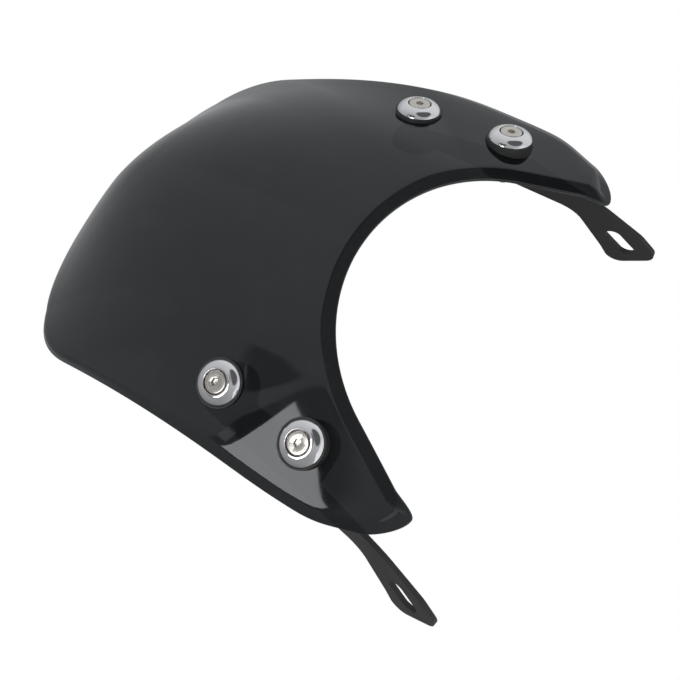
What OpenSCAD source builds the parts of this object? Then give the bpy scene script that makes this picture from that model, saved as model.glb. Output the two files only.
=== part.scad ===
// Headlight cowl: a thin moulded dome that stands over a round motorbike lamp,
// held by two folded steel brackets with a slotted foot on each side.
// Millimetres. Origin at the centre of the lamp cut-out, in the middle of the
// part. -Y is the front, +Z is up, the part is the same on both sides of X = 0.

/* [Front view of the outer edge] */
// height of the top edge over the lamp centre
top_z = 257.3; // [252:0.1:262]
// half width where the crown turns into the shoulder
shoulder_x = 90.9; // [88:0.1:94]
// height of that shoulder point
shoulder_z = 235.8; // [232:0.1:239]
// slope of the edge at the shoulder point, degrees under level
shoulder_slope = 33.1; // [28:0.1:38]
// half width under the shoulder curve
flank_x = 117.8; // [115:0.1:121]
// height of the point under the shoulder curve
flank_z = 200.8; // [196:0.1:206]
// lean of the straight flank, degrees off upright
flank_lean = 6.8; // [4:0.1:9]
// largest half width of the cowl
wide_x = 133.5; // [130:0.1:137]
// height of the widest point
wide_z = 44.1; // [38:0.1:50]
// half width where the horn starts to round off
horn_x = 126.4; // [124:0.1:128]
// height of that point
horn_z = 11.7; // [9:0.1:14]
// half width of the horn tip
tip_x = 107; // [105:0.1:109]
// height of the horn tip under the lamp centre
tip_z = -6.6; // [-9:0.1:-4]

/* [Lamp cut-out] */
// radius of the round cut-out over the lamp
cut_r = 92.2; // [89:0.1:95]
// splay of the straight legs under the arc, degrees off upright
leg_splay = 27.6; // [24:0.1:31]
// how far the legs run back below, as a share of the height squared
leg_sweep = 0.0006; // [0.0003:0.0001:0.0009]

/* [Side view of the outer edge] */
// depth of the edge at the horn tip
edge_y_tip = 8.4; // [6:0.1:11]
// pull on the edge over the horn
edge_pull_low = 34.5; // [30:0.1:40]
// pull on the edge at mid height
edge_pull_mid = 5.2; // [0:0.1:12]
// pull on the edge under the shoulder
edge_pull_high = 127.7; // [122:0.1:133]
// depth of the edge at the top
edge_y_top = 179.8; // [174:0.1:185]

/* [Curve of the skin] */
// slope of the skin off the cut-out, top to side, degrees
rise_top = 22.7; // [18:0.1:27]
// first pull on that slope
rise_pull_a = 17.3; // [13:0.1:22]
// second pull on that slope
rise_pull_b = 36.1; // [31:0.1:41]
// slope off the cut-out beside the lamp
rise_side = 11.5; // [8:0.1:15]
// slope of the skin at the outer edge, at the crown, degrees
fall_crown = 78.6; // [74:0.1:82]
// pull on that slope by the shoulder
fall_pull_a = 76.8; // [72:0.1:80]
// pull on that slope by the flank
fall_pull_b = 20; // [16:0.1:24]
// pull on that slope over the horn
fall_pull_c = 15.4; // [12:0.1:20]
// slope at the outer edge on the horn
fall_horn = 25.4; // [21:0.1:30]
// fullness of the dome at the crown
full_crown = 2.13; // [1.7:0.01:2.4]
// fullness by the shoulder
full_shoulder = 1.24; // [1:0.01:1.5]
// fullness on the flank
full_flank = 0.85; // [0.7:0.01:1]
// fullness on the horn
full_horn = 0.4; // [0.35:0.01:0.6]

/* [Sheet and border] */
// thickness of the moulded sheet
sheet = 3; // [2:0.1:3.4]
// width of the turned border strip
border_w = 7.5; // [5:0.1:9]
// how far the border turns back from the skin, degrees
border_turn = 22; // [10:1:26]

/* [Bolt places] */
// half distance between the two sides' bolt lines
bolt_x = 103.2; // [102:0.1:104.5]
// depth of the middle of a bolt line
bolt_y = 17.7; // [17:0.1:19]
// height of the middle of a bolt line
bolt_z = 86; // [84:0.1:88]
// distance between the two bolts of a side
bolt_pitch = 55.6; // [53:0.1:58]
// turn of the bolts outwards from the front, degrees
bolt_yaw = 26.4; // [25:0.1:28]
// upward lean of the bolts, degrees
bolt_rise = 21.5; // [20:0.1:23]
// roll of the bolt line about the bolts, degrees
bolt_roll = 2.2; // [0:0.1:5]

/* [Fasteners] */
// diameter of the dished cup washer
cup_d = 25; // [23:0.5:26]
// height of the cup washer
cup_h = 4.5; // [4.2:0.1:5]
// diameter of the crease round the cup washer's top
cup_top_d = 17; // [16:0.1:18]
// diameter of the screw head
head_d = 12.1; // [11:0.1:13]
// height of the screw head
head_h = 3.2; // [2.9:0.1:3.4]
// screw size
screw_d = 6; // [5:0.5:6]
// width of the hexagon key
key_w = 4; // [3:0.5:4]
// depth of the hexagon key
key_h = 2.2; // [1.8:0.1:2.4]
// overall diameter of the rubber washer
pad_d = 26.6; // [26:0.1:28]
// diameter of the spacer behind the skin
spacer_d = 14; // [12:0.5:16]
// width of the lock nut over its flats
nut_w = 10; // [9:0.5:11]
// height of the lock nut
nut_h = 6; // [5:0.1:7]
// clearance round a screw
hole_play = 0.4; // [0.3:0.05:0.5]

/* [Brackets] */
// thickness of the bracket sheet
plate = 3; // [2.5:0.1:3.5]
// distance from the cup washer's foot back to the bracket tab
stand_off = 17.6; // [16.8:0.1:18.4]
// diameter of the round pads of the tab
lobe_d = 26.5; // [24:0.1:28]
// width of the bar between the pads
bar_w = 14; // [11:0.1:16]
// half distance between the feet at the lamp centre height
foot_x = 124.5; // [123:0.1:126]
// lean of the foot towards the middle going up, degrees
foot_lean = 9.1; // [7:0.1:11]
// inside radius of the fold
fold_r = 2.5; // [2:0.1:3]
// width of the slot
slot_w = 10.6; // [9:0.1:11.5]
// overall length of the slot
slot_len = 25; // [20:0.1:27]
// depth of the slot's centre
slot_y = 65.1; // [63:0.1:67]
// height of the slot's centre under the lamp centre
slot_z = -30.7; // [-32.5:0.1:-29]
// lean of the slot off upright, degrees
slot_lean = 34; // [28:1:40]
// how far the foot spreads towards the back, as a share of the depth
foot_spread = 0.05; // [0:0.01:0.08]

/* [Hidden] */
eps = 0.01;
z_low = -6;
z_high = 262;
n_crown = 8;
n_corner = 6;
n_side = 12;
n_horn = 5;
n_tip = 6;
n_main = n_crown + n_corner + n_side + n_horn;
n_last = n_main + n_tip;
n_skin = 13;

function unit(v) = v / norm(v);
function fact(n) = n < 2 ? 1 : n * fact(n - 1);
function choose(n, k) = fact(n) / fact(k) / fact(n - k);
function sum(v, i = 0) = i >= len(v) ? 0 : v[i] + sum(v, i + 1);
// value of a Bernstein curve with control values c
function bern(c, t) = sum([for (i = [0:len(c) - 1])
    choose(len(c) - 1, i) * pow(t, i) * pow(1 - t, len(c) - 1 - i) * c[i]]);
// cubic curve between two points with end directions and pulls
function bez(p, dp, hp, q, dq, hq, t) =
    pow(1 - t, 3) * p + 3 * t * pow(1 - t, 2) * (p + hp * dp)
    + 3 * t * t * (1 - t) * (q - hq * dq) + pow(t, 3) * q;

// front view of the outer edge, right half
crown_p = [0, top_z];
shoulder_p = [shoulder_x, shoulder_z];
shoulder_d = [cos(shoulder_slope), -sin(shoulder_slope)];
flank_p = [flank_x, flank_z];
flank_d = [sin(flank_lean), -cos(flank_lean)];
wide_p = [wide_x, wide_z];
horn_p = [horn_x, horn_z];
horn_d = [-sin(16.4), -cos(16.4)];
tip_p = [tip_x, tip_z];
tip_in = [tip_x + 1.5, tip_z + 8.5];
leg_d = [sin(leg_splay), -cos(leg_splay)];

function edge_xz(k) =
    k <= n_crown ? bez(crown_p, [1, 0], 22.8, shoulder_p, shoulder_d, 27, k / n_crown)
    : k <= n_crown + n_corner ?
        bez(shoulder_p, shoulder_d, 3, flank_p, flank_d, 25.8, (k - n_crown) / n_corner)
    : k <= n_crown + n_corner + n_side ?
        bez(flank_p, flank_d, 48.6, wide_p, [0, -1], 43.9, (k - n_crown - n_corner) / n_side)
    : k <= n_main ?
        bez(wide_p, [0, -1], 14, horn_p, horn_d, 14, (k - n_crown - n_corner - n_side) / n_horn)
    : bez(horn_p, horn_d, 8, tip_p, [-1, 0], 6, (k - n_main) / n_tip);

function bearing(k) = atan2(edge_xz(min(k, n_main))[0], edge_xz(min(k, n_main))[1]);
leg_bearing = 90 - leg_splay;

// the cut-out: an arc over the lamp, then a straight leg on its tangent
function leg_xz(b) = (b <= leg_bearing ? cut_r : cut_r / cos(b - leg_bearing)) * [sin(b), cos(b)];
function cut_xz(k) = k <= n_main ? leg_xz(bearing(k))
    : bez(leg_xz(bearing(n_main)), leg_d, 4, tip_p, [1, 0], 4, (k - n_main) / n_tip);

function edge_depth(z) = bern([edge_y_tip, edge_pull_low, edge_pull_mid, edge_pull_high,
    edge_y_top], (z - z_low) / (z_high - z_low));
function cut_depth(z) = leg_sweep * pow(cut_r - z, 2);
tip_y = (edge_depth(tip_z) + cut_depth(tip_z)) / 2;

// share of the way round the horn tip
function past(k) = k <= n_main ? 0 : (k - n_main) / n_tip;
function edge_y(k) = edge_depth(edge_xz(k)[1]) * (1 - pow(past(k), 2)) + tip_y * pow(past(k), 2);
function cut_y(k) = cut_depth(cut_xz(k)[1]) * (1 - pow(past(k), 2)) + tip_y * pow(past(k), 2);
function quarter(k) = min(bearing(k) / 90, 1);
function rise(k) = bern([rise_top, rise_pull_a, rise_pull_b, rise_side], quarter(k));
function fall(k) = bern([fall_crown, fall_pull_a, fall_pull_b, fall_pull_c, fall_horn], quarter(k));
function full(k) = bern([full_crown, full_shoulder, full_flank, full_horn], quarter(k));
function across(k) = unit(edge_xz(k) - cut_xz(k));

// fold lines where the border strip turns back from the skin
function edge_in(k) = k <= n_main ?
    edge_xz(k) - across(k) * border_w * cos(fall(k) + border_turn)
    : bez(edge_in(n_main), horn_d, 3.5, tip_in, unit([-1, 0.15]), 2.5, past(k));
function cut_in(k) = k <= n_main ?
    cut_xz(k) + across(k) * border_w * cos(rise(k) - border_turn)
    : bez(cut_in(n_main), leg_d, 1.5, tip_in, unit([1, 0.1]), 1.5, past(k));
edge_in_end = edge_y(n_main) - border_w * sin(fall(n_main) + border_turn);
cut_in_end = cut_y(n_main) + border_w * sin(rise(n_main) - border_turn);
tip_in_y = (edge_in_end + cut_in_end) / 2 - 0.3;
function edge_in_y(k) = k <= n_main ?
    edge_y(k) - border_w * sin(fall(k) + border_turn)
    : edge_in_end + (tip_in_y - edge_in_end) * pow(past(k), 2);
function cut_in_y(k) = k <= n_main ?
    cut_y(k) + border_w * sin(rise(k) - border_turn)
    : cut_in_end + (tip_in_y - cut_in_end) * pow(past(k), 2);

function lift(p, y) = [p[0], y, p[1]];
// one section of the skin: a conic that leaves the cut-out at the rise angle,
// meets the outer edge at the fall angle and is as full as its weight says
function conic(k) = let (
    a = cut_in(k), b = edge_in(k), l = norm(b - a),
    h = edge_in_y(k) - cut_in_y(k), ta = tan(rise(k)), tb = tan(fall(k)),
    r = min(max((h - tb * l) / (ta - tb), 0.15 * l), 0.9 * l), w = full(k))
    [for (j = [0:n_skin]) let (t = j / n_skin, p = pow(1 - t, 2), q = 2 * w * t * (1 - t),
        s = t * t, f = (q * r / l + s) / (p + q + s), y = (q * ta * r + s * h) / (p + q + s))
        lift(a + f * (b - a), cut_in_y(k) + y)];
function section(k) = concat([lift(cut_xz(k), cut_y(k))],
    k < n_last ? conic(k) : [for (j = [0:n_skin]) lift(tip_in, tip_in_y)],
    [lift(edge_xz(k), edge_y(k))]);

n_col = n_skin + 3;
half = [for (k = [0:n_last]) section(k)];
function mirrored(p) = [-p[0], p[1], p[2]];
// outer skin, row by row from one horn tip over the crown to the other
outer = [for (k = [-n_last:n_last]) k < 0 ? [for (p = half[-k]) mirrored(p)] : half[k]];
n_row = len(outer);
// direction from the outer skin into the sheet
function grid_normal(i, j) = let (
    i0 = max(i - 1, 0), i1 = min(i + 1, n_row - 1), j0 = max(j - 1, 0), j1 = min(j + 1, n_col - 1))
    unit(cross(outer[i][j1] - outer[i][j0], outer[i1][j] - outer[i0][j]));
// the horn tips close on themselves, so their normal comes from the row before
function tip_normal(i, j) = j == 0 || j == n_col - 1 ?
    unit(grid_normal(i, 0) + grid_normal(i, n_col - 1)) : unit(grid_normal(i, 1) + grid_normal(i, n_col - 2));
function skin_normal(i, j) = i == 0 ? tip_normal(1, j)
    : i == n_row - 1 ? tip_normal(n_row - 2, j) : grid_normal(i, j);
normals = [for (i = [0:n_row - 1]) [for (j = [0:n_col - 1]) skin_normal(i, j)]];

// solid slab of the skin between rows a and b and columns c and d, from depth
// near to depth far
module skin_slab(a, b, c, d, near, far) {
    wide = d - c + 1;
    points = [for (i = [a:b]) for (h = [near, far]) for (j = [c:d]) outer[i][j] + h * normals[i][j]];
    // at the horn tips a row of the whole skin folds to a line
    function id(i, j, side) = (i - a) * 2 * wide + side * wide
        + ((i == 0 || i == n_row - 1) ? (j == c || j == d ? 0 : 1) : j - c);
    function quad(p, q, r, s) = [[p, q, r], [p, r, s]];
    skins = [for (i = [a:b - 1]) for (j = [c:d - 1])
        each concat(quad(id(i, j, 0), id(i, j + 1, 0), id(i + 1, j + 1, 0), id(i + 1, j, 0)),
            quad(id(i, j, 1), id(i + 1, j, 1), id(i + 1, j + 1, 1), id(i, j + 1, 1)))];
    edges = [for (i = [a:b - 1])
        each concat(quad(id(i, c, 0), id(i + 1, c, 0), id(i + 1, c, 1), id(i, c, 1)),
            quad(id(i, d, 0), id(i, d, 1), id(i + 1, d, 1), id(i + 1, d, 0)))];
    ends = [for (j = [c:d - 1])
        each concat(a == 0 ? [] : quad(id(a, j, 0), id(a, j, 1), id(a, j + 1, 1), id(a, j + 1, 0)),
            b == n_row - 1 ? [] : quad(id(b, j, 0), id(b, j + 1, 0), id(b, j + 1, 1), id(b, j, 1)))];
    faces = [for (f = concat(skins, edges, ends)) if (f[0] != f[1] && f[1] != f[2] && f[2] != f[0]) f];
    polyhedron(points = points, faces = faces, convexity = 6);
}

// bolt frame of the right side: X up the bolt line, Z out along the bolts
bolt_n = [sin(bolt_yaw) * cos(bolt_rise), -cos(bolt_yaw) * cos(bolt_rise), sin(bolt_rise)];
bolt_up = unit([0, 0, 1] - bolt_n[2] * bolt_n);
bolt_u = cos(bolt_roll) * bolt_up + sin(bolt_roll) * cross(bolt_up, bolt_n);
bolt_mid = [bolt_x, bolt_y, bolt_z];
// the upper cup washers sit a little further out than the lower ones
function seat_shift(s) = 0.6 * s;
function seat(s) = bolt_mid + s * bolt_pitch / 2 * bolt_u + seat_shift(s) * bolt_n;
module frame_at(o, x, y, z) {
    multmatrix([[x[0], y[0], z[0], o[0]], [x[1], y[1], z[1], o[1]], [x[2], y[2], z[2], o[2]], [0, 0, 0, 1]])
        children();
}
// side is 1 for the right and -1 for the left
module on_side(side) {
    mirror([side > 0 ? 0 : 1, 0, 0]) children();
}
// s is 1 for the upper bolt of a side and -1 for the lower one
module on_bolt(s) {
    frame_at(seat(s), bolt_u, cross(bolt_n, bolt_u), bolt_n) children();
}
hole_d = screw_d + 2 * hole_play;
// height of the bracket tab's front face, seen from a bolt's own seat
function tab_front(s) = -stand_off - seat_shift(s);
head_floor = cup_h - head_h - 0.1;
// rows of the skin round a bolt
function first_row(s) = n_last + (s > 0 ? 15 : 20);
function last_row(s) = n_last + (s > 0 ? 22 : 26);

module cowl_shell() {
    color([0.1, 0.11, 0.11]) difference() {
        skin_slab(0, n_row - 1, 0, n_col - 1, 0, sheet);
        for (s = [-1, 1]) for (side = [-1, 1]) on_side(side) on_bolt(s) translate([0, 0, -12])
            cylinder(d = hole_d, h = 16, $fn = 48);
    }
}

module cup_washer(s, side) {
    foot_r = cup_d / 2;
    top_r = cup_top_d / 2;
    well_r = head_d / 2 + 0.7;
    fall_r = foot_r - 0.4 - top_r;
    color([0.8, 0.8, 0.82]) on_side(side) on_bolt(s) rotate_extrude($fn = 96)
        polygon([[hole_d / 2, 0], [foot_r - 0.2, 0], [foot_r, 0.2], [foot_r, 0.5], [foot_r - 0.4, 0.9],
            [top_r + 0.55 * fall_r, 0.65 * cup_h], [top_r + 0.25 * fall_r, 0.82 * cup_h], [top_r, 0.9 * cup_h],
            [well_r + 0.3, cup_h], [well_r, cup_h - 0.3], [well_r, head_floor], [hole_d / 2, head_floor]]);
}

module cap_screw(s, side) {
    head_r = head_d / 2;
    head_top = head_floor + head_h;
    tail = tab_front(s) - plate - nut_h - 1.5;
    color([0.72, 0.7, 0.66]) on_side(side) on_bolt(s) difference() {
        rotate_extrude($fn = 64)
            polygon([[0, tail], [screw_d / 2 - 0.6, tail], [screw_d / 2, tail + 0.6], [screw_d / 2, head_floor],
                [head_r, head_floor], [head_r, head_top - 0.6], [head_r - 0.2, head_top - 0.2],
                [head_r - 0.6, head_top], [0, head_top]]);
        translate([0, 0, head_top - key_h]) cylinder(d = key_w / cos(30), h = key_h + 1, $fn = 6);
    }
}

module rubber_washer(s, side) {
    color([0.03, 0.03, 0.03]) on_side(side) difference() {
        on_bolt(s) translate([0, 0, -7]) difference() {
            cylinder(d = pad_d, h = 7, $fn = 72);
            translate([0, 0, -1]) cylinder(d = hole_d, h = 10, $fn = 48);
        }
        skin_slab(first_row(s), last_row(s), 3, 13, 0, 8);
    }
}

module spacer(s, side) {
    color([0.05, 0.05, 0.05]) on_side(side) difference() {
        on_bolt(s) translate([0, 0, tab_front(s)]) difference() {
            cylinder(d = spacer_d, h = -tab_front(s) - 0.5, $fn = 64);
            translate([0, 0, -1]) cylinder(d = hole_d, h = 22, $fn = 48);
        }
        skin_slab(first_row(s), last_row(s), 3, 13, -7, sheet);
    }
}

module lock_nut(s, side) {
    body_h = nut_h - 1.6;
    corner_r = nut_w / 2 / cos(30);
    color([0.62, 0.62, 0.62]) on_side(side) on_bolt(s)
        translate([0, 0, tab_front(s) - plate]) mirror([0, 0, 1]) difference() {
            union() {
                intersection() {
                    cylinder(r = corner_r, h = body_h, $fn = 6);
                    rotate_extrude($fn = 48) polygon([[0, 0], [corner_r - 0.5, 0], [corner_r + 0.1, 0.4],
                        [corner_r + 0.1, body_h - 0.5], [corner_r - 0.6, body_h], [0, body_h]]);
                }
                translate([0, 0, body_h]) cylinder(d = nut_w - 1, h = nut_h - body_h, $fn = 48);
            }
            translate([0, 0, -1]) cylinder(d = screw_d + 0.1, h = nut_h + 2, $fn = 48);
        }
}

// fold frame of the right bracket: X out across the tab, Y up the fold, Z out
// of the tab's front face, with the origin where the two outer faces meet
foot_n = unit([1, -foot_spread, tan(foot_lean)]);
// a point of the foot's outer plane, at depth y and height z
function foot_at(y, z) = [foot_x - tan(foot_lean) * z + foot_spread * (y - 75), y, z];
fold_f = unit(cross(bolt_n, foot_n));
fold_x = cross(fold_f, bolt_n);
fold_angle = acos(bolt_n * foot_n);
tab_mid = bolt_mid - stand_off * bolt_n;
fold_o = tab_mid + (foot_at(0, 0) - tab_mid) * foot_n / (fold_x * foot_n) * fold_x;
arm_x = cos(fold_angle) * fold_x - sin(fold_angle) * bolt_n;
bend_r = fold_r + plate;
bend_len = bend_r * tan(fold_angle / 2);
// the flat outlines stop just short of the round of the fold
flat_end = bend_len + 0.25;
// a bolt's place on the tab
function on_tab(s) = let (v = seat(s) - fold_o) [v * fold_x, v * fold_f];
// a point of the side view laid on the outer face of the arm
function on_arm(y, z) = let (v = foot_at(y, z) - fold_o) [v * arm_x, v * fold_f];

// outline with its corners rounded: each point is [x, y, radius]
function turn(a, b, c) = let (u = unit(a - b), v = unit(c - b)) acos(max(-1, min(1, u * v)));
function xy(p) = [p[0], p[1]];
function arc_at(a, b, c, r) = let (
    u = unit(a - b), v = unit(c - b), half = turn(a, b, c) / 2, m = b + unit(u + v) * r / sin(half),
    t0 = b + u * r / tan(half) - m, t1 = b + v * r / tan(half) - m,
    a0 = atan2(t0[1], t0[0]), swing = atan2(t0[0] * t1[1] - t0[1] * t1[0], t0 * t1))
    [for (i = [0:8]) m + r * [cos(a0 + swing * i / 8), sin(a0 + swing * i / 8)]];
function rounded(v) = [for (i = [0:len(v) - 1]) let (
    a = xy(v[(i + len(v) - 1) % len(v)]), b = xy(v[i]), c = xy(v[(i + 1) % len(v)]))
    each v[i][2] > 0 ? arc_at(a, b, c, v[i][2]) : [b]];

lobe_r = lobe_d / 2;
fold_low = on_tab(-1)[1] - lobe_r;
fold_high = on_tab(1)[1] + lobe_r;
slot_dir = [sin(slot_lean), -cos(slot_lean)];
slot_side = [-cos(slot_lean), -sin(slot_lean)];
slot_mid = [slot_y, slot_z];
// a point of the foot, along the slot and across it, as a point of the arm
function on_foot(along, over, r) = let (p = slot_mid + along * slot_dir + over * slot_side)
    concat(on_arm(p[0], p[1]), [r]);
function on_view(y, z, r) = concat(on_arm(y, z), [r]);

// the flat tab behind the skin: two round pads joined by a bar
module tab_outline() {
    low = on_tab(-1);
    high = on_tab(1);
    round_r = 0.98 * lobe_r;
    polygon(rounded([[-flat_end, fold_low, 0], [low[0] - lobe_r, fold_low, round_r],
        [low[0] - lobe_r, low[1] + lobe_r, round_r], [-bar_w, low[1] + lobe_r, 5],
        [-bar_w, high[1] - lobe_r, 5], [high[0] - lobe_r, high[1] - lobe_r, round_r],
        [high[0] - lobe_r, fold_high, round_r], [-flat_end, fold_high, 0]]));
}

// the arm and its foot, from the fold down and back to the slot
module arm_outline() {
    foot_end = slot_len / 2 + 8;
    polygon(rounded([[flat_end, fold_high, 0], [flat_end, fold_low, 0],
        on_view(38, -8, 60), on_foot(-2, 16.5, 20), on_foot(foot_end, 15.5, 9),
        on_foot(foot_end - 1, -20, 8), on_foot(1, -15.5, 40), on_view(53.5, 4, 22),
        on_view(57.5, 52, 30), [bend_len + 9, fold_high, 8]]));
}
module slot_outline() {
    end_r = 0.995 * slot_w / 2;
    polygon(rounded([on_foot(-slot_len / 2, slot_w / 2, end_r), on_foot(slot_len / 2, slot_w / 2, end_r),
        on_foot(slot_len / 2, -slot_w / 2, end_r), on_foot(-slot_len / 2, -slot_w / 2, end_r)]));
}

// end view: a point round the fold at angle q and radius r
function round_fold(q, r) = [r * sin(q) - bend_len, r * cos(q) - bend_r];
fold_steps = 10;
// end view of the folded sheet: the tab, the round of the fold and the arm
module sheet_end_view() {
    reach = 140;
    arm_end = reach * [cos(fold_angle), -sin(fold_angle)];
    polygon(concat([[-60, 0]], [for (i = [0:fold_steps]) round_fold(fold_angle * i / fold_steps, bend_r)],
        [arm_end, arm_end - plate * [sin(fold_angle), cos(fold_angle)]],
        [for (i = [fold_steps:-1:0]) round_fold(fold_angle * i / fold_steps, fold_r)], [[-60, -plate]]));
}
// end view of the room round the fold alone
module fold_room() {
    polygon(concat([for (i = [-1:fold_steps + 1]) round_fold(fold_angle * i / fold_steps, bend_r + 1)],
        [for (i = [fold_steps + 1:-1:-1]) round_fold(fold_angle * i / fold_steps, fold_r - 1)]));
}
// an end view drawn out along the fold from y = a to y = b
module along_fold(a, b) {
    frame_at([0, b, 0], [1, 0, 0], [0, 0, 1], [0, -1, 0]) linear_extrude(b - a) children();
}

module bracket(side) {
    color([0.12, 0.12, 0.12]) on_side(side) frame_at(fold_o, fold_x, fold_f, bolt_n) difference() {
        intersection() {
            along_fold(-150, 70) sheet_end_view();
            union() {
                translate([0, 0, -plate - 2]) linear_extrude(plate + 4) tab_outline();
                along_fold(fold_low + 0.03, fold_high - 0.03) fold_room();
                rotate([0, fold_angle, 0]) translate([0, 0, -plate - 2]) linear_extrude(plate + 4) arm_outline();
            }
        }
        for (s = [-1, 1]) translate([on_tab(s)[0], on_tab(s)[1], -plate - 1])
            cylinder(d = hole_d, h = plate + 2, $fn = 48);
        rotate([0, fold_angle, 0]) translate([0, 0, -plate - 1]) linear_extrude(plate + 2) slot_outline();
    }
}

cowl_shell();
bracket(1);  // right_bracket
bracket(-1);  // left_bracket
cup_washer(1, 1);  // right_upper_cup_washer
cup_washer(-1, 1);  // right_lower_cup_washer
cup_washer(1, -1);  // left_upper_cup_washer
cup_washer(-1, -1);  // left_lower_cup_washer
cap_screw(1, 1);  // right_upper_screw
cap_screw(-1, 1);  // right_lower_screw
cap_screw(1, -1);  // left_upper_screw
cap_screw(-1, -1);  // left_lower_screw
rubber_washer(1, 1);  // right_upper_rubber_washer
rubber_washer(-1, 1);  // right_lower_rubber_washer
rubber_washer(1, -1);  // left_upper_rubber_washer
rubber_washer(-1, -1);  // left_lower_rubber_washer
spacer(1, 1);  // right_upper_spacer
spacer(-1, 1);  // right_lower_spacer
spacer(1, -1);  // left_upper_spacer
spacer(-1, -1);  // left_lower_spacer
lock_nut(1, 1);  // right_upper_lock_nut
lock_nut(-1, 1);  // right_lower_lock_nut
lock_nut(1, -1);  // left_upper_lock_nut
lock_nut(-1, -1);  // left_lower_lock_nut
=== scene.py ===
import bmesh
import bpy
import math
from mathutils import Matrix, Vector


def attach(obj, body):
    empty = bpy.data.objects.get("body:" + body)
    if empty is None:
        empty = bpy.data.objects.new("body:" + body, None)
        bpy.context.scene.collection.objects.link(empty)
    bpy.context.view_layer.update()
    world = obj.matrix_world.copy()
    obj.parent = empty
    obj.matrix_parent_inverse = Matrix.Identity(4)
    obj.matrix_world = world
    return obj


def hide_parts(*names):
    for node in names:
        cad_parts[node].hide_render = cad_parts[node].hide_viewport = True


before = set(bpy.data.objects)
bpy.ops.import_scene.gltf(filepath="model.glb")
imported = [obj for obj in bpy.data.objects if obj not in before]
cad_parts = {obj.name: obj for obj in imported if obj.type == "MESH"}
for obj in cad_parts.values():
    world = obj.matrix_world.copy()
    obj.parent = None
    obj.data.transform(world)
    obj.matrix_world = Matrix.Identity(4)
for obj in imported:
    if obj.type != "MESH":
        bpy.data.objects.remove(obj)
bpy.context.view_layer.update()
mm = 0.001


# small helpers, all in millimetres until a piece is built
def unit(v):
    return v.normalized()


def bern(values, t):
    n = len(values) - 1
    return sum(math.comb(n, i) * t ** i * (1 - t) ** (n - i) * c for i, c in enumerate(values))


def bez(p, dirP, pullP, q, dirQ, pullQ, t):
    return ((1 - t) ** 3 * p + 3 * t * (1 - t) ** 2 * (p + pullP * dirP)
            + 3 * t * t * (1 - t) * (q - pullQ * dirQ) + t ** 3 * q)


def smooth(t):
    t = min(max(t, 0), 1)
    return t * t * (3 - 2 * t)


def heading(angle):
    return Vector((math.sin(math.radians(angle)), -math.cos(math.radians(angle))))


# the skin, in the front view (x, z) and the depth y
skinSet = {
    "crown": 257.3, "shoulder": (90.9, 235.8), "shoulderSlope": 33.1, "flank": (117.8, 200.8), "flankLean": 6.8,
    "wide": (133.5, 44.1), "horn": (126.4, 11.7), "hornLean": -16.4, "tip": (107.0, -6.6),
    # how hard each leg of the outer edge leaves and arrives
    "pulls": ((22.8, 27.0), (3.0, 25.8), (48.6, 43.9), (14.0, 14.0), (8.0, 6.0)),
    "cutR": 92.2, "legSplay": 27.6, "legSweep": 0.0006, "cutPull": 4.0,
    "span": (-6.0, 262.0), "edgeDepth": (8.4, 34.5, 5.2, 127.7, 179.8),
    "rise": (22.7, 17.3, 36.1, 11.5), "fall": (78.6, 76.8, 20.0, 15.4, 25.4), "full": (2.13, 1.24, 0.85, 0.4),
    "reach": (0.15, 0.9), "sheet": 3.0, "borderWidth": 7.5, "borderTurn": 22.0,
    # where the two folds meet in the tip, and how they get there: direction, first pull, last pull
    "tipInset": (1.5, 8.5), "tipSink": 0.3, "cutFold": ((1, 0.1), 1.5, 1.5), "edgeFold": ((-1, 0.15), 3.5, 2.5),
    # what the look adds: rounded edges and folds, a gentler horn, fuller flanks and shoulders
    "edgeRound": 0.9, "foldSoft": 1.6, "hornSoft": 20.5, "hornFrom": 0.5, "hornOver": 0.12,
    "flankBack": 2.0, "flankAt": 66, "flankReach": 26, "swell": 1.5, "swellAt": 32, "swellReach": 9,
    "swellWay": (0.6, -0.62),
    "rows": (24, 18, 48, 18, 18), "columns": 56, "border": (0.0, 0.2, 0.4, 0.6, 0.8, 0.93),
}


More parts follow.
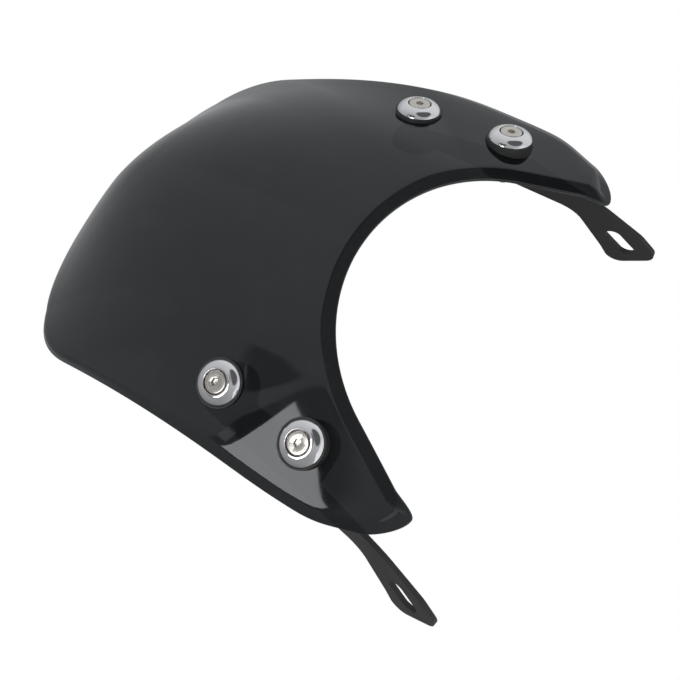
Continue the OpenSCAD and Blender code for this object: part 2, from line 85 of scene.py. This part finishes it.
# closed-form surface of the cowl
class Skin:
    def __init__(self, s):
        self.s = s
        self.counts = s["rows"]
        self.marks = [0]
        for n in self.counts:
            self.marks.append(self.marks[-1] + n)
        self.main = self.marks[4]
        self.last = self.marks[5]
        self.tip = Vector(s["tip"])
        self.tipIn = self.tip + Vector(s["tipInset"])
        self.tipY = (self.edgeDepth(self.tip.y) + self.cutDepth(self.tip.y)) / 2

    def edgeDepth(self, z):
        s = self.s
        low, high = s["span"]
        fuller = s["flankBack"] * math.exp(-((z - s["flankAt"]) / s["flankReach"]) ** 2)
        return bern(s["edgeDepth"], (z - low) / (high - low)) + fuller

    def cutDepth(self, z):
        return self.s["legSweep"] * (self.s["cutR"] - z) ** 2

    def edge(self, k):
        s = self.s
        crown, shoulder, flank = Vector((0, s["crown"])), Vector(s["shoulder"]), Vector(s["flank"])
        wide, horn = Vector(s["wide"]), Vector(s["horn"])
        slope = math.radians(s["shoulderSlope"])
        stops = (
            (crown, Vector((1, 0))), (shoulder, Vector((math.cos(slope), -math.sin(slope)))),
            (flank, heading(s["flankLean"])), (wide, Vector((0, -1))), (horn, heading(s["hornLean"])),
            (self.tip, Vector((-1, 0))),
        )
        for i, (leave, arrive) in enumerate(s["pulls"]):
            if k <= self.marks[i + 1]:
                return bez(*stops[i], leave, *stops[i + 1], arrive, (k - self.marks[i]) / self.counts[i])

    def bearing(self, k):
        p = self.edge(min(k, self.main))
        return math.degrees(math.atan2(p.x, p.y))

    def leg(self, b):
        over = b - (90 - self.s["legSplay"])
        r = self.s["cutR"] / (math.cos(math.radians(over)) if over > 0 else 1)
        return r * Vector((math.sin(math.radians(b)), math.cos(math.radians(b))))

    def past(self, k):
        return max(0, k - self.main) / self.counts[4]

    def cut(self, k):
        if k <= self.main:
            return self.leg(self.bearing(k))
        pull = self.s["cutPull"]
        return bez(self.leg(self.bearing(self.main)), heading(self.s["legSplay"]), pull,
                   self.tip, Vector((1, 0)), pull, self.past(k))

    def blendY(self, k, y):
        f = self.past(k) ** 2
        return y * (1 - f) + self.tipY * f

    def folds(self, k):
        # the two fold lines of the border: cut-out side, then outer side
        s = self.s
        q = min(self.bearing(k) / 90, 1)
        rise, fall = bern(s["rise"], q), bern(s["fall"], q)
        turn, width = s["borderTurn"], s["borderWidth"]
        a, b = self.cut(k), self.edge(k)
        way = unit(b - a)
        cosA, cosB = math.cos(math.radians(rise - turn)), math.cos(math.radians(fall + turn))
        sinA, sinB = math.sin(math.radians(rise - turn)), math.sin(math.radians(fall + turn))
        inA, inB = a + way * width * cosA, b - way * width * cosB
        yA = self.blendY(k, self.cutDepth(a.y)) + width * sinA
        yB = self.blendY(k, self.edgeDepth(b.y)) - width * sinB
        return inA, yA, inB, yB

    def inner(self, k):
        # the same lines, led together into the tip
        if k <= self.main:
            return self.folds(k)
        s = self.s
        a, yA, b, yB = self.folds(self.main)
        p = self.past(k)
        tipY = (yA + yB) / 2 - s["tipSink"]

        def led(start, lean, way, leave, arrive):
            return bez(start, heading(lean), leave, self.tipIn, unit(Vector(way)), arrive, p)

        inA = led(a, s["legSplay"], *s["cutFold"])
        inB = led(b, s["hornLean"], *s["edgeFold"])
        return inA, yA + (tipY - yA) * p * p, inB, yB + (tipY - yB) * p * p

    def row(self, k, border):
        # points from the cut-out edge to the outer edge
        s = self.s
        inA, yA, inB, yB = self.inner(k)
        a, b = self.cut(k), self.edge(k)
        cutEnd = Vector((a.x, self.blendY(k, self.cutDepth(a.y)), a.y))
        edgeEnd = Vector((b.x, self.blendY(k, self.edgeDepth(b.y)), b.y))
        q = min(self.bearing(k) / 90, 1)
        # over the horns the skin runs into its border almost without a fold
        soft = s["hornSoft"] * smooth((q - s["hornFrom"]) / s["hornOver"])
        tanA, tanB = math.tan(math.radians(bern(s["rise"], q))), math.tan(math.radians(bern(s["fall"], q) + soft))
        w = bern(s["full"], q)
        length, height = (inB - inA).length, yB - yA
        least, most = s["reach"]
        reach = min(max((height - tanB * length) / (tanA - tanB), least * length), most * length)
        skin = []
        for j in range(s["columns"] + 1):
            u = j / s["columns"]
            t = u / 2 + (1 - math.cos(math.pi * u)) / 4
            b0, b1, b2 = (1 - t) ** 2, 2 * w * t * (1 - t), t * t
            total = b0 + b1 + b2
            f = (b1 * reach / max(length, 1e-6) + b2) / total
            y = (b1 * tanA * reach + b2 * height) / total
            p = inA + (inB - inA) * f
            skin.append(Vector((p.x, yA + y, p.y)))
        lead = [cutEnd.lerp(skin[0], f) for f in border]
        trail = [edgeEnd.lerp(skin[-1], f) for f in reversed(border)]
        return lead + skin + trail


def note(text):
    print("stage:", text)


# shader maths: a socket that can be added, taken away, scaled and ramped in plain expressions
class Sock:
    def __init__(self, kit, out):
        self.kit = kit
        self.out = out

    def math(self, op, *others, clamp=False):
        return self.kit.make("ShaderNodeMath", {"operation": op, "use_clamp": clamp},
                             dict(enumerate((self,) + others)))

    def __add__(self, b):
        return self.math("ADD", b)

    def __sub__(self, b):
        return self.math("SUBTRACT", b)

    def __mul__(self, b):
        return self.math("MULTIPLY", b)

    __radd__ = __add__
    __rmul__ = __mul__

    def clip(self):
        return self.math("ADD", 0.0, clamp=True)

    def ramp(self, low, high, fromValue=0.0, toValue=1.0):
        return self.kit.make("ShaderNodeMapRange", {"clamp": True, "interpolation_type": "SMOOTHSTEP"},
                             {"Value": self, "From Min": low, "From Max": high, "To Min": fromValue, "To Max": toValue})


# one material and the nodes made in it
class Kit:
    def __init__(self, name):
        self.mat = bpy.data.materials.new(name)
        self.mat.use_nodes = True
        self.tree = self.mat.node_tree
        self.tree.nodes.clear()
        self.final = self.tree.nodes.new("ShaderNodeOutputMaterial")
        coords = self.tree.nodes.new("ShaderNodeTexCoord")
        self.place = Sock(self, coords.outputs["Object"])

    @classmethod
    def over(cls, tree):
        # the same tools over a node tree that is no material's
        kit = cls.__new__(cls)
        kit.tree = tree
        return kit

    def make(self, kind, settings=None, inputs=None, output=0):
        node = self.tree.nodes.new(kind)
        for key, value in (settings or {}).items():
            setattr(node, key, value)
        for key, value in (inputs or {}).items():
            if isinstance(value, Sock):
                self.tree.links.new(value.out, node.inputs[key])
            else:
                node.inputs[key].default_value = value
        return Sock(self, node.outputs[output])

    def noise(self, scale, detail=3.0, rough=0.5, place=None):
        return self.make("ShaderNodeTexNoise", {"noise_dimensions": "3D"},
                         {"Vector": place or self.place, "Scale": scale, "Detail": detail, "Roughness": rough}, "Fac")

    def stretched(self, scale):
        return self.make("ShaderNodeMapping", {}, {"Vector": self.place, "Scale": scale})

    def mix(self, factor, a, b):
        return self.make("ShaderNodeMix", {"data_type": "RGBA"}, {0: factor, 6: a, 7: b}, 2)

    def bump(self, height, strength, distance):
        return self.make("ShaderNodeBump", {}, {"Height": height, "Strength": strength, "Distance": distance})

    def finish(self, shader):
        self.tree.links.new(shader.out, self.final.inputs["Surface"])
        return self.mat


def shade(kit, inputs):
    return kit.make("ShaderNodeBsdfPrincipled", {}, inputs)


plasticSet = {
    "base": (0.0035, 0.0042, 0.0048, 1), "dusty": (0.008, 0.009, 0.0095, 1), "speck": (0.02, 0.02, 0.02, 1),
    "roughness": 0.045, "dustRough": 0.09, "tint": (0.086, 0.09, 0.092, 1), "ior": 1.49,
    "speckScale": 900.0, "hazeScale": 60.0, "waveScale": 9.0, "rippleScale": 26.0, "ripple": 0.02,
}


def smokedPlastic(s):
    kit = Kit("smoked plastic")
    broad = kit.noise(s["waveScale"], 2.0, 0.5)
    specks = kit.noise(s["speckScale"], 2.0, 0.6).ramp(0.66, 0.78)
    haze = kit.noise(s["hazeScale"], 4.0, 0.6).ramp(0.45, 0.75)
    color = kit.mix(specks * 0.35, kit.mix(haze * 0.4, s["base"], s["dusty"]), s["speck"])
    rough = haze * (s["dustRough"] - s["roughness"]) + s["roughness"]
    normal = kit.bump(broad + kit.noise(s["rippleScale"], 1.0, 0.4) * 0.25, s["ripple"], 0.004)
    skin = shade(kit, {"Base Color": color, "Roughness": rough, "IOR": s["ior"], "Specular IOR Level": 0.5,
                       "Normal": normal})
    # what little light the smoke lets through, without a bend
    clear = kit.make("ShaderNodeBsdfTransparent", {}, {"Color": s["tint"]})
    return kit.finish(kit.make("ShaderNodeAddShader", {}, {0: skin, 1: clear}))


powderSet = {
    "base": (0.0175, 0.017, 0.0172, 1), "worn": (0.024, 0.0235, 0.024, 1), "roughness": 0.42, "gloss": 0.35,
    "peelScale": 1500.0, "patchScale": 45.0, "grain": 0.25,
}


def powderCoat(s):
    kit = Kit("satin powder coat")
    peel = kit.noise(s["peelScale"], 2.0, 0.55)
    patch = kit.noise(s["patchScale"], 3.0, 0.55).ramp(0.4, 0.7)
    color = kit.mix(patch * 0.4, s["base"], s["worn"])
    rough = patch * 0.1 + s["roughness"]
    normal = kit.bump(peel, s["grain"], 0.00025)
    return kit.finish(shade(kit, {"Base Color": color, "Roughness": rough, "Normal": normal,
                                  "Specular IOR Level": s["gloss"]}))


def polishedMetal(name, color, roughness, streaks, spread):
    kit = Kit(name)
    fine = kit.noise(1.0, 4.0, 0.65, kit.stretched(streaks))
    smear = kit.noise(220.0, 3.0, 0.5).ramp(0.45, 0.7)
    tone = kit.mix(smear * 0.25, color, tuple(c * 0.85 for c in color[:3]) + (1,))
    normal = kit.bump(fine, 0.08, 0.0002)
    return kit.finish(shade(kit, {"Base Color": tone, "Metallic": 1.0,
                                  "Roughness": fine * spread + roughness, "Normal": normal}))


def mattRubber(name, base):
    kit = Kit(name)
    pores = kit.noise(1800.0, 2.0, 0.6)
    dust = kit.noise(120.0, 4.0, 0.6).ramp(0.5, 0.8)
    color = kit.mix(dust * 0.5, base, (0.045, 0.045, 0.043, 1))
    normal = kit.bump(pores, 0.2, 0.0002)
    return kit.finish(shade(kit, {"Base Color": color, "Roughness": dust * 0.15 + 0.55, "Normal": normal}))


smoked = smokedPlastic(plasticSet)
coated = powderCoat(powderSet)
chromed = polishedMetal("mirror chrome", (0.86, 0.86, 0.88, 1), 0.03, (700, 700, 700), 0.03)
stainless = polishedMetal("stainless screw", (0.66, 0.63, 0.58, 1), 0.16, (1200, 1200, 300), 0.12)
zincPlated = polishedMetal("zinc plated nut", (0.58, 0.59, 0.6, 1), 0.26, (900, 900, 900), 0.14)
gasketBlack = mattRubber("black gasket", (0.018, 0.018, 0.018, 1))
spacerBlack = mattRubber("black spacer", (0.025, 0.025, 0.025, 1))
note("materials")


def freshPiece(name, bm, material, nodes):
    bmesh.ops.remove_doubles(bm, verts=bm.verts, dist=2e-6)
    bmesh.ops.recalc_face_normals(bm, faces=bm.faces)
    mesh = bpy.data.meshes.new(name)
    bm.to_mesh(mesh)
    bm.free()
    mesh.polygons.foreach_set("use_smooth", [True] * len(mesh.polygons))
    mesh.materials.append(material)
    obj = bpy.data.objects.new(name, mesh)
    bpy.context.scene.collection.objects.link(obj)
    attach(obj, "root")
    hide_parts(*nodes)
    return obj


# the cowl: one grid wrapped round the sheet, front face, rim, back face and rim again
def layGrid(bm, rows):
    down, across = len(rows) - 1, len(rows[0]) - 1
    bmesh.ops.create_grid(bm, x_segments=down, y_segments=across, size=0.5)
    for v in bm.verts:
        v.co = rows[round((v.co.x + 0.5) * down)][round((v.co.y + 0.5) * across)] * mm


def skinNormals(rows):
    last, wide = len(rows) - 1, len(rows[0]) - 1

    def normal(i, j):
        along = rows[min(i + 1, last)][j] - rows[max(i - 1, 0)][j]
        over = rows[i][min(j + 1, wide)] - rows[i][max(j - 1, 0)]
        return unit(over.cross(along))

    def steady(i, j):
        if 0 < i < last:
            return normal(i, j)
        near = 1 if i == 0 else last - 1
        if j in (0, wide):
            return unit(normal(near, 0) + normal(near, wide))
        return unit(normal(near, 3) + normal(near, wide - 3))

    return [[steady(i, j) for j in range(wide + 1)] for i in range(last + 1)]


def wrap(row, normals, thickness, radius):
    # a closed loop round one section of the sheet, its four corners turned to small arcs
    back = [p + n * thickness for p, n in zip(row, normals)]
    angles = [math.pi / 2 * k / 4 for k in range(5)]

    def corner(face, n):
        d = unit(face[1] - face[0])
        return [face[0] + radius * (d * (1 - math.sin(a)) + n * (1 - math.cos(a))) for a in angles]

    loop = corner(row, normals[0])[::-1] + row[1:-1] + corner(row[::-1], normals[-1])
    loop += corner(back[::-1], -normals[-1])[::-1] + back[-2:0:-1] + corner(back, -normals[0])
    return loop + loop[:1]


def soften(row, radius):
    # rounds the folds of a section with a moving average that dies out at its two ends
    far = [0.0]
    for a, b in zip(row, row[1:]):
        far.append(far[-1] + (b - a).length)

    def at(d, j):
        while j > 0 and far[j] > d:
            j -= 1
        while j < len(row) - 2 and far[j + 1] < d:
            j += 1
        gap = far[j + 1] - far[j]
        return row[j].lerp(row[j + 1], (d - far[j]) / gap) if gap > 1e-6 else row[j].copy()

    taps = [(k / 5, math.exp(-(k / 2.6) ** 2)) for k in range(-5, 6)]
    total = sum(weight for _, weight in taps)
    result = []
    for j, p in enumerate(row):
        reach = min(radius, far[j], far[-1] - far[j])
        if reach < 1e-4:
            result.append(p)
            continue
        mean = Vector((0, 0, 0))
        for step, weight in taps:
            mean += at(far[j] + reach * step, j) * weight
        result.append(mean / total)
    return result


def swelled(row, bearing, s):
    # the slight swell of a shoulder, none at the two edges
    side, front = s["swellWay"]
    middle = math.radians(s["swellAt"])
    out = unit(Vector((math.sin(middle) * side, front, math.cos(middle) * side)))
    size = s["swell"] * math.exp(-((bearing - s["swellAt"]) / s["swellReach"]) ** 2)
    return [p + out * size * math.sin(math.pi * j / (len(row) - 1)) for j, p in enumerate(row)]


def cowlPiece(s, material):
    skin = Skin(s)
    half = [swelled(soften(skin.row(k, s["border"]), s["foldSoft"]), skin.bearing(k), s) for k in range(skin.last + 1)]
    rows = [[Vector((-p.x, p.y, p.z)) for p in half[k]] for k in range(skin.last, 0, -1)] + half
    loops = [wrap(row, normals, s["sheet"], s["edgeRound"]) for row, normals in zip(rows, skinNormals(rows))]
    bm = bmesh.new()
    layGrid(bm, loops)
    obj = freshPiece("cowl", bm, material, ["cowl_shell"])
    note("cowl, %d faces" % len(obj.data.polygons))
    return obj


cowlPiece(skinSet, smoked)


# where the bolts stand
boltSet = {"middle": (103.2, 17.7, 86.0), "pitch": 55.6, "yaw": 26.4, "rise": 21.5, "roll": 2.2, "shift": 0.6}


def boltFrames(s):
    yaw, rise, roll = (math.radians(s[n]) for n in ("yaw", "rise", "roll"))
    out = Vector((math.sin(yaw) * math.cos(rise), -math.cos(yaw) * math.cos(rise), math.sin(rise)))
    up = unit(Vector((0, 0, 1)) - out.z * out)
    along = math.cos(roll) * up + math.sin(roll) * up.cross(out)
    frames = {}
    for level, sign in (("upper", 1), ("lower", -1)):
        base = Vector(s["middle"]) + sign * s["pitch"] / 2 * along + sign * s["shift"] * out
        right = Matrix((along, out.cross(along), out)).transposed().to_4x4()
        right.translation = base * mm
        frames["right_" + level] = right
        frames["left_" + level] = Matrix.Scale(-1, 4, Vector((1, 0, 0))) @ right
    return frames


frames = boltFrames(boltSet)


def revolve(bm, outline, steps):
    # closed ring from an outline of (radius, height) in millimetres
    verts = [bm.verts.new((r * mm, 0, z * mm)) for r, z in outline]
    edges = [bm.edges.new((verts[i], verts[(i + 1) % len(verts)])) for i in range(len(verts))]
    bmesh.ops.spin(bm, geom=verts + edges, axis=(0, 0, 1), cent=(0, 0, 0), steps=steps, angle=2 * math.pi,
                   use_merge=True)


cupSet = {"foot": 12.48, "hole": 3.4, "well": 6.75, "floor": 1.2, "height": 4.5, "top": 8.5, "crease": 4.05,
          "skirt": 0.75, "inset": 0.15, "dome": 1.15, "domed": 0.55, "flankSteps": 14, "turns": 96}


def cupPiece(place, matrix, s):
    foot, well, top, dome = s["foot"], s["well"], s["top"], s["dome"]
    start = foot - s["inset"]
    # a domed flank, then a slightly flatter ring round the well
    flank = []
    for k in range(s["flankSteps"] + 1):
        u = k / s["flankSteps"]
        curved = (1 - math.cos(u * dome)) / (1 - math.cos(dome))
        inward = (start - top) * (s["domed"] * curved + (1 - s["domed"]) * u)
        rise = (s["crease"] - s["skirt"]) * math.sin(u * dome) / math.sin(dome)
        flank.append((start - inward, s["skirt"] + rise))
    outline = [(s["hole"], 0.02), (start, 0.02), (foot, 0.16), (foot, 0.5)] + flank
    outline += [(top - 0.12, s["crease"] + 0.07), (well + 0.35, s["height"] - 0.02), (well + 0.12, s["height"] - 0.08),
                (well, s["height"] - 0.3), (well, s["floor"] + 0.1), (well - 0.1, s["floor"]), (s["hole"], s["floor"])]
    bm = bmesh.new()
    revolve(bm, outline, s["turns"])
    bmesh.ops.transform(bm, matrix=matrix, verts=bm.verts)
    return freshPiece(place + "_cup", bm, chromed, [place + "_cup_washer"])


screwSet = {"head": 12.1, "headHeight": 3.2, "floor": 1.2, "shank": 6.0, "key": 4.0, "keyDepth": 2.2,
            "rim": 0.6, "sides": 48, "edge": 0.12}
tails = {"upper": -28.7, "lower": -27.5}


def screwPiece(place, matrix, s):
    level = place.split("_")[1]
    head, top, shank, tail = s["head"] / 2, s["floor"] + s["headHeight"], s["shank"] / 2, tails[level]
    bm = bmesh.new()
    # the top face with its hexagon key, then the turned body down from its rim
    sides = s["sides"]
    ring = bmesh.ops.create_circle(bm, segments=sides, radius=(head - s["rim"]) * mm, cap_ends=False)["verts"]
    hexagon = []
    for k in range(sides):
        a = 2 * math.pi * k / sides
        edge = (a + math.pi / 6) % (math.pi / 3) - math.pi / 6
        r = s["key"] / 2 / math.cos(edge)
        hexagon.append(bm.verts.new((r * math.cos(a) * mm, r * math.sin(a) * mm, top * mm)))
    for v in ring:
        v.co.z = top * mm
    inner = [bm.edges.new((hexagon[k], hexagon[(k + 1) % sides])) for k in range(sides)]
    outer = [e for e in bm.edges if e not in inner]
    bmesh.ops.bridge_loops(bm, edges=inner + outer)
    drop = bmesh.ops.extrude_edge_only(bm, edges=inner)["geom"]
    low = [v for v in drop if isinstance(v, bmesh.types.BMVert)]
    for v in low:
        v.co.z -= s["keyDepth"] * mm
    bmesh.ops.contextual_create(bm, geom=[e for e in drop if isinstance(e, bmesh.types.BMEdge)
                                          and all(v in low for v in e.verts)])
    down = outer
    body = ((head - 0.3, top - 0.05), (head - 0.09, top - 0.2), (head, top - 0.5), (head, s["floor"] + 0.25),
            (head - 0.25, s["floor"] + 0.03), (shank - 0.02, s["floor"] + 0.03), (shank - 0.02, tail + 0.6),
            (shank - 0.6, tail + 0.02))
    for r, z in body:
        made = bmesh.ops.extrude_edge_only(bm, edges=down)["geom"]
        for v in (g for g in made if isinstance(g, bmesh.types.BMVert)):
            flat = Vector((v.co.x, v.co.y, 0)).normalized() * r * mm
            v.co = (flat.x, flat.y, z * mm)
        down = [e for e in made if isinstance(e, bmesh.types.BMEdge)
                and all(abs(v.co.z - z * mm) < 1e-7 for v in e.verts)]
    bmesh.ops.contextual_create(bm, geom=down)
    sharp = [e for e in bm.edges if len(e.link_faces) == 2 and e.calc_face_angle() > math.radians(50)
             and max(v.co.z for v in e.verts) > (s["floor"] + 0.5) * mm]
    bmesh.ops.bevel(bm, geom=sharp, offset=s["edge"] * mm, segments=2, profile=0.5, affect="EDGES", material=-1)
    bmesh.ops.transform(bm, matrix=matrix, verts=bm.verts)
    return freshPiece(place + "_capscrew", bm, stainless, [place + "_screw"])


for place, matrix in frames.items():
    cupPiece(place, matrix, cupSet)
    screwPiece(place, matrix, screwSet)
note("cup washers and screws")


# pieces kept from the frame get their own materials and softened edges
def keepNode(name, material, width, segments=2):
    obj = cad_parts[name]
    obj.data.materials.clear()
    obj.data.materials.append(material)
    obj.data.polygons.foreach_set("use_smooth", [True] * len(obj.data.polygons))
    if width:
        soft = obj.modifiers.new("soft edges", "BEVEL")
        soft.width = width * mm
        soft.segments = segments
        soft.limit_method = "ANGLE"
        soft.angle_limit = math.radians(35)
        soft.harden_normals = True
    return obj


for side in ("right", "left"):
    keepNode(side + "_bracket", coated, 0.35, 3)
    for level in ("upper", "lower"):
        keepNode("%s_%s_rubber_washer" % (side, level), gasketBlack, 0.2)
        keepNode("%s_%s_spacer" % (side, level), spacerBlack, 0.3)
        keepNode("%s_%s_lock_nut" % (side, level), zincPlated, 0.15)
note("kept pieces")


# floor, backdrop and what polished faces mirror
studioSet = {
    "floorZ": -0.30, "floorHalf": 0.33, "floorY": -0.05, "floorColor": (0.8, 0.8, 0.8, 1), "floorRough": 0.6,
    "skyColor": (0.97, 0.985, 1, 1), "skyLight": 0.62, "roomLight": 0.5, "roomTilt": 0.22, "behind": 0.62,
    "gapEdge": (0.94, -0.26, 0.224), "wallWay": (0.307, -0.950, -0.051), "darkLight": 0.1,
}


def studio(s):
    bm = bmesh.new()
    bmesh.ops.create_grid(bm, x_segments=2, y_segments=2, size=s["floorHalf"])
    bmesh.ops.translate(bm, verts=bm.verts, vec=(0, s["floorY"], s["floorZ"]))
    mesh = bpy.data.meshes.new("floor")
    bm.to_mesh(mesh)
    bm.free()
    kit = Kit("pale floor")
    mesh.materials.append(kit.finish(shade(kit, {"Base Color": s["floorColor"], "Roughness": s["floorRough"]})))
    floor = bpy.data.objects.new("floor", mesh)
    bpy.context.scene.collection.objects.link(floor)
    world = bpy.data.worlds.new("studio")
    bpy.context.scene.world = world
    world.use_nodes = True
    tree = world.node_tree
    tree.nodes.clear()
    kit = Kit.over(tree)
    toward = kit.make("ShaderNodeSeparateXYZ", {}, {"Vector": kit.make("ShaderNodeTexCoord", {}, {}, "Generated")})
    x, y, z = (Sock(kit, toward.out.node.outputs[axis]) for axis in "XYZ")

    def along(way):
        return x * way[0] + y * way[1] + z * way[2]

    # the mirrored room: paler to one side, with a dark gap under the ceiling
    past = along(s["gapEdge"]).ramp(-0.012, 0.012, 1.0, 0.0)
    gap = past * y.ramp(-0.38, -0.30, 1.0, 0.0) * z.ramp(0.18, 0.34) * z.ramp(0.71, 0.76, 1.0, 0.0)
    room = (x * s["roomTilt"] + s["roomLight"]).clip() * y.ramp(-0.1, 0.75, 1.0, s["behind"])
    # and a dark wall across from the cut-out's lip
    dark = gap.math("MAXIMUM", along(s["wallWay"]).ramp(0.84, 0.91))
    mirrored = room - dark * (room - s["darkLight"])
    path = tree.nodes.new("ShaderNodeLightPath")
    seen = Sock(kit, path.outputs["Is Camera Ray"]).math("MAXIMUM", Sock(kit, path.outputs["Is Transmission Ray"]))
    glossy = Sock(kit, path.outputs["Is Glossy Ray"])
    light = glossy * (mirrored - s["skyLight"]) + s["skyLight"]
    sky = kit.make("ShaderNodeBackground", {}, {"Color": s["skyColor"], "Strength": light})
    white = kit.make("ShaderNodeBackground", {}, {"Color": (1, 1, 1, 1), "Strength": 1.0})
    both = kit.make("ShaderNodeMixShader", {}, {0: seen, 1: sky, 2: white})
    final = tree.nodes.new("ShaderNodeOutputWorld")
    tree.links.new(both.out, final.inputs["Surface"])


# each lamp: where it stands, what it points at, its size and power, and whether polished faces mirror it
lampSet = {
    "wash": {"place": (-0.9, -0.6, 1.0), "target": (0, 0.05, 0.1), "size": (0.7, 0.5), "power": 11.0, "seen": False},
    "fill": {"place": (0.9, -0.9, 0.3), "target": (0, 0.05, 0.1), "size": (0.9, 0.9), "power": 1.5, "seen": False},
    # a small lamp that the flat tops of the near screws and cup washers mirror
    "spark": {"place": (-0.69, -0.62, 0.91), "target": (-0.1, 0.01, 0.08), "size": (0.17, 0.17), "power": 0.055,
              "seen": True},
}
# a long softbox over the camera, mirrored on the near horn round its lower washer
cardSet = {"place": (-0.4229, -0.2710, 0.2925), "size": (0.309, 0.175), "power": 0.754, "color": (0.97, 0.98, 1.0),
           "level": (0.8923, -0.4515, 0), "rising": (0.1669, 0.3298, 0.9292), "lean": (0.93, -0.37)}


def softbox(name, s):
    light = bpy.data.lights.new(name, "AREA")
    light.shape = "RECTANGLE"
    light.size, light.size_y = s["size"]
    light.energy = s["power"]
    light.color = s.get("color", (1, 1, 1))
    obj = bpy.data.objects.new(name, light)
    bpy.context.scene.collection.objects.link(obj)
    return obj


def framed(right, up, back, place):
    # a matrix from three directions and a place
    matrix = Matrix((right, up, back)).transposed().to_4x4()
    matrix.translation = place
    return matrix


def card(s):
    level, rising = Vector(s["level"]), Vector(s["rising"])
    run, climb = s["lean"]
    along, across = level * run + rising * climb, rising * run - level * climb
    softbox("card", s).matrix_world = framed(along, across, along.cross(across), s["place"])


studio(studioSet)
for name, s in lampSet.items():
    lamp = softbox(name, s)
    lamp.location = s["place"]
    lamp.rotation_euler = (Vector(s["target"]) - Vector(s["place"])).to_track_quat("-Z", "Y").to_euler()
    lamp.visible_glossy = s["seen"]
card(cardSet)
note("studio")

# the photographer's place: level, but with the camera turned well over to one side
cameraSet = {"place": (-0.2543, -0.5425, 0.0619), "right": (0.5365, -0.1817, -0.8241), "up": (0.769, -0.297, 0.5661),
             "back": (-0.3477, -0.9374, -0.0196), "lens": 60.88, "sensor": 36, "near": 0.01}


def photographer(s):
    camera = bpy.data.objects.new("camera", bpy.data.cameras.new("camera"))
    camera.matrix_world = framed(s["right"], s["up"], s["back"], s["place"])
    camera.data.lens = s["lens"]
    camera.data.sensor_width = s["sensor"]
    camera.data.clip_start = s["near"]
    bpy.context.scene.collection.objects.link(camera)
    bpy.context.scene.camera = camera


photographer(cameraSet)
bpy.context.scene.view_settings.view_transform = "Standard"
